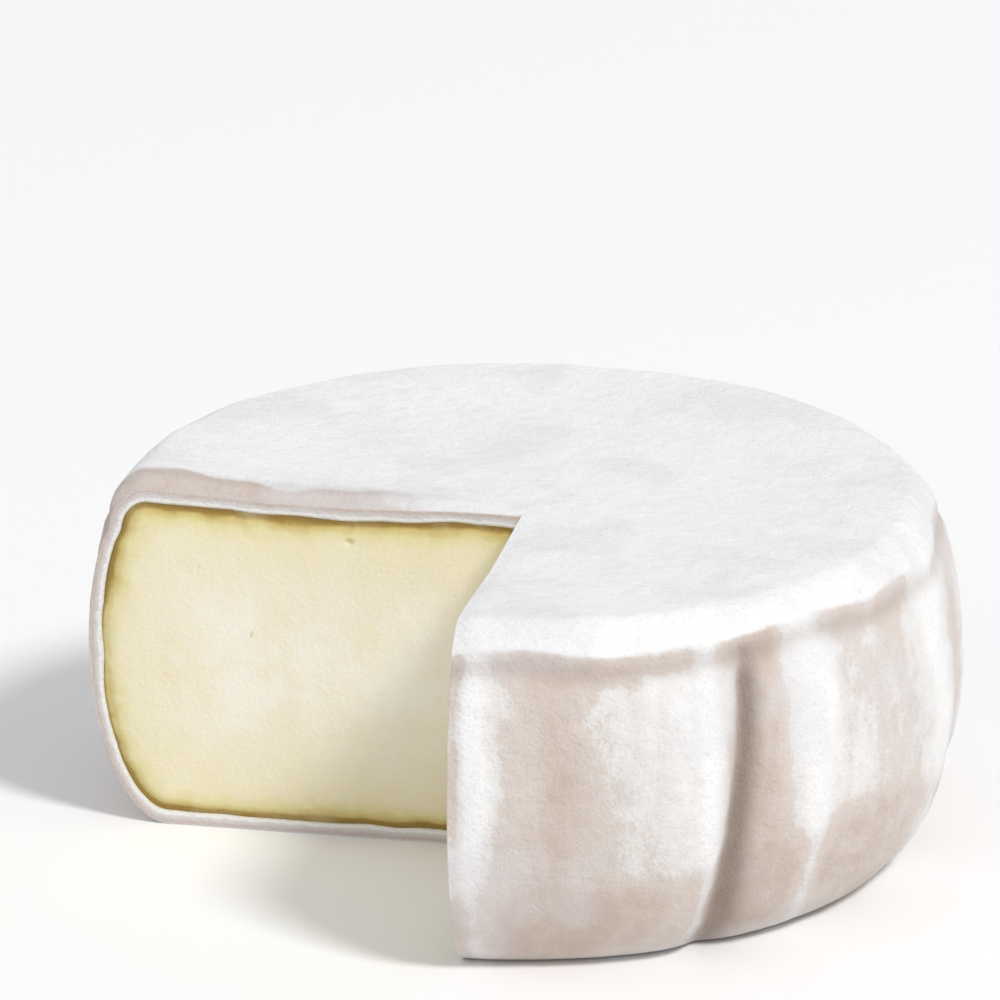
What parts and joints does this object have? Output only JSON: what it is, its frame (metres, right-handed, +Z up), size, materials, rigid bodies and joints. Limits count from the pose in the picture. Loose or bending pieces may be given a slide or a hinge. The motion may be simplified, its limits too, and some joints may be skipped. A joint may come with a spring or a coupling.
{
  "type": "cheese wheel",
  "caption": "Small soft cheese wheel with a white mould rind and a right-angled piece cut out, which shows the pale paste inside.",
  "frame": {"origin": "the middle of the wheel's underside, on the surface that it stands on", "axes": "+Z up along the wheel's axis; the cut faces are parallel to X and Y, and the cut opens towards -X -Y"},
  "size_m": [0.125, 0.1249, 0.0522],
  "materials": {
    "rind": "white mould rind: dry, velvety and matte, off-white with beige patches",
    "paste": "ripened soft cheese, cut with a knife: moist and satin, cream, and straw-coloured near the rind"
  },
  "bodies": {
    "root": {"rind": "rind", "paste": "paste"}
  },
  "joints": []
}
